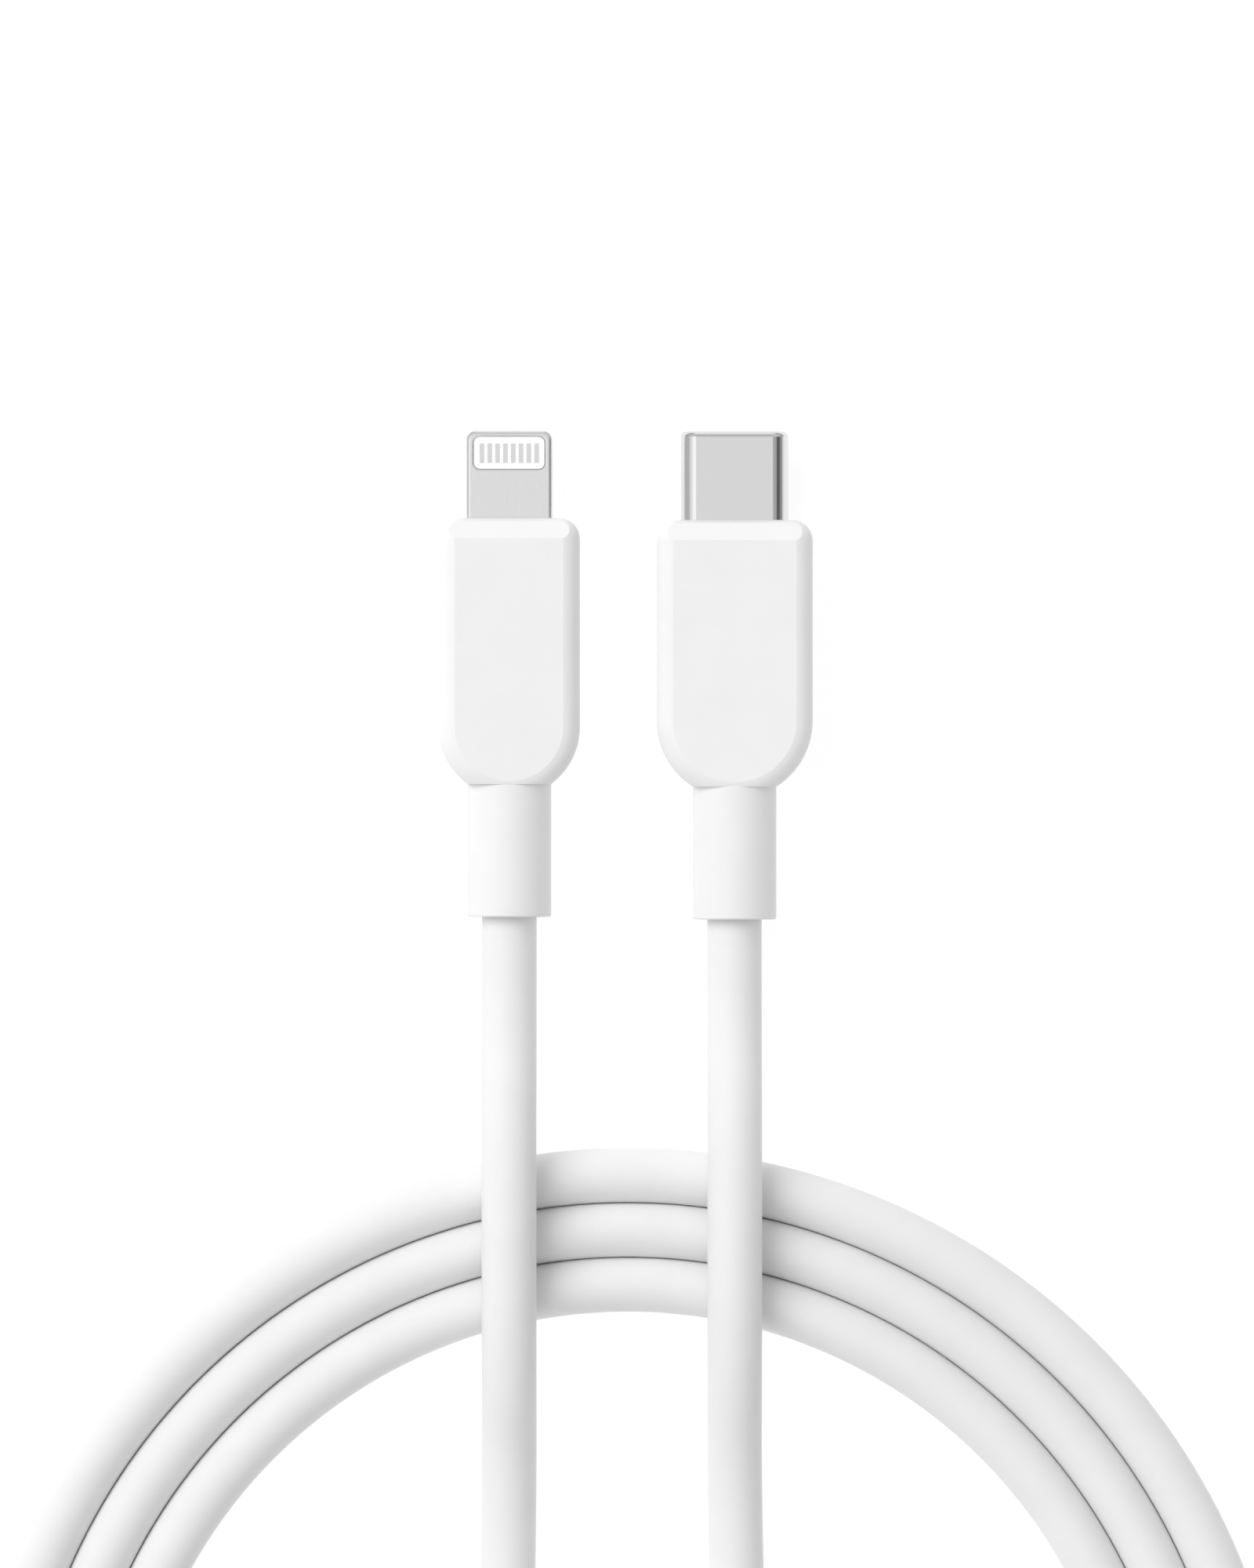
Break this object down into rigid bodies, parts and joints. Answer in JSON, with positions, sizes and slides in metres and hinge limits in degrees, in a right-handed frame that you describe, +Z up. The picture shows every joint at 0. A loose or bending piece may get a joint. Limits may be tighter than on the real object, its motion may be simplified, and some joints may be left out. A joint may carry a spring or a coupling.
{
  "type": "charging cable",
  "caption": "Thin white charging cable lying in a flat coil, with a flat tab plug on one end and an oval plug on the other, both with bullet-shaped casings.",
  "frame": {"origin": "on the surface that the cable lies on, under the middle of the two plugs' bounding box", "axes": "+Z up, +Y towards the plugs' tips, +X from the tab plug to the oval plug"},
  "size_m": [0.1019, 0.1572, 0.0087],
  "materials": {
    "cord_jacket": "satin, soft thermoplastic jacket",
    "casing_white": "soft matte",
    "board_laminate": "satin",
    "housing_black": "matte",
    "contact_plating": "plated, silver grey",
    "ferrule_brass": "satin",
    "spring_steel": "satin",
    "mould_plastic": "natural polyethylene",
    "chip_epoxy": "matte",
    "small_ceramic": "matte",
    "shell_steel": "bright satin",
    "can_tin": "tin plated",
    "relief_white": "soft matte",
    "wire_white": "satin",
    "wire_green": "satin",
    "wire_black": "satin",
    "wire_red": "satin",
    "insulator_white": "matte",
    "tab_steel": "satin"
  },
  "bodies": {
    "root": {"cord_coil": "cord_jacket", "cord_lead_oval": "cord_jacket", "cord_lead_tab": "cord_jacket", "oval_casing": "casing_white", "oval_circuit_board": "board_laminate", "oval_contact_housing": "housing_black", "oval_contacts_lower": "contact_plating", "oval_contacts_upper": "contact_plating", "oval_cord_end": "cord_jacket", "oval_crimp_ferrule": "ferrule_brass", "oval_ground_springs": "spring_steel", "oval_inner_mould": "mould_plastic", "oval_latch_spring": "spring_steel", "oval_marker_chip": "chip_epoxy", "oval_resistors": "small_ceramic", "oval_shell": "shell_steel", "oval_shield_can_lower": "can_tin", "oval_shield_can_upper": "can_tin", "oval_strain_relief": "relief_white", "oval_wire_data_minus": "wire_white", "oval_wire_data_plus": "wire_green", "oval_wire_ground": "wire_black", "oval_wire_power": "wire_red", "tab_capacitors": "small_ceramic", "tab_casing": "casing_white", "tab_circuit_board": "board_laminate", "tab_contact_insulator": "insulator_white", "tab_contacts_lower": "contact_plating", "tab_contacts_upper": "contact_plating", "tab_control_chip": "chip_epoxy", "tab_cord_end": "cord_jacket", "tab_crimp_ferrule": "ferrule_brass", "tab_frame": "tab_steel", "tab_inner_mould": "mould_plastic", "tab_shield_can_lower": "can_tin", "tab_shield_can_upper": "can_tin", "tab_strain_relief": "relief_white", "tab_wire_data_minus": "wire_white", "tab_wire_data_plus": "wire_green", "tab_wire_ground": "wire_black", "tab_wire_power": "wire_red"}
  },
  "joints": []
}
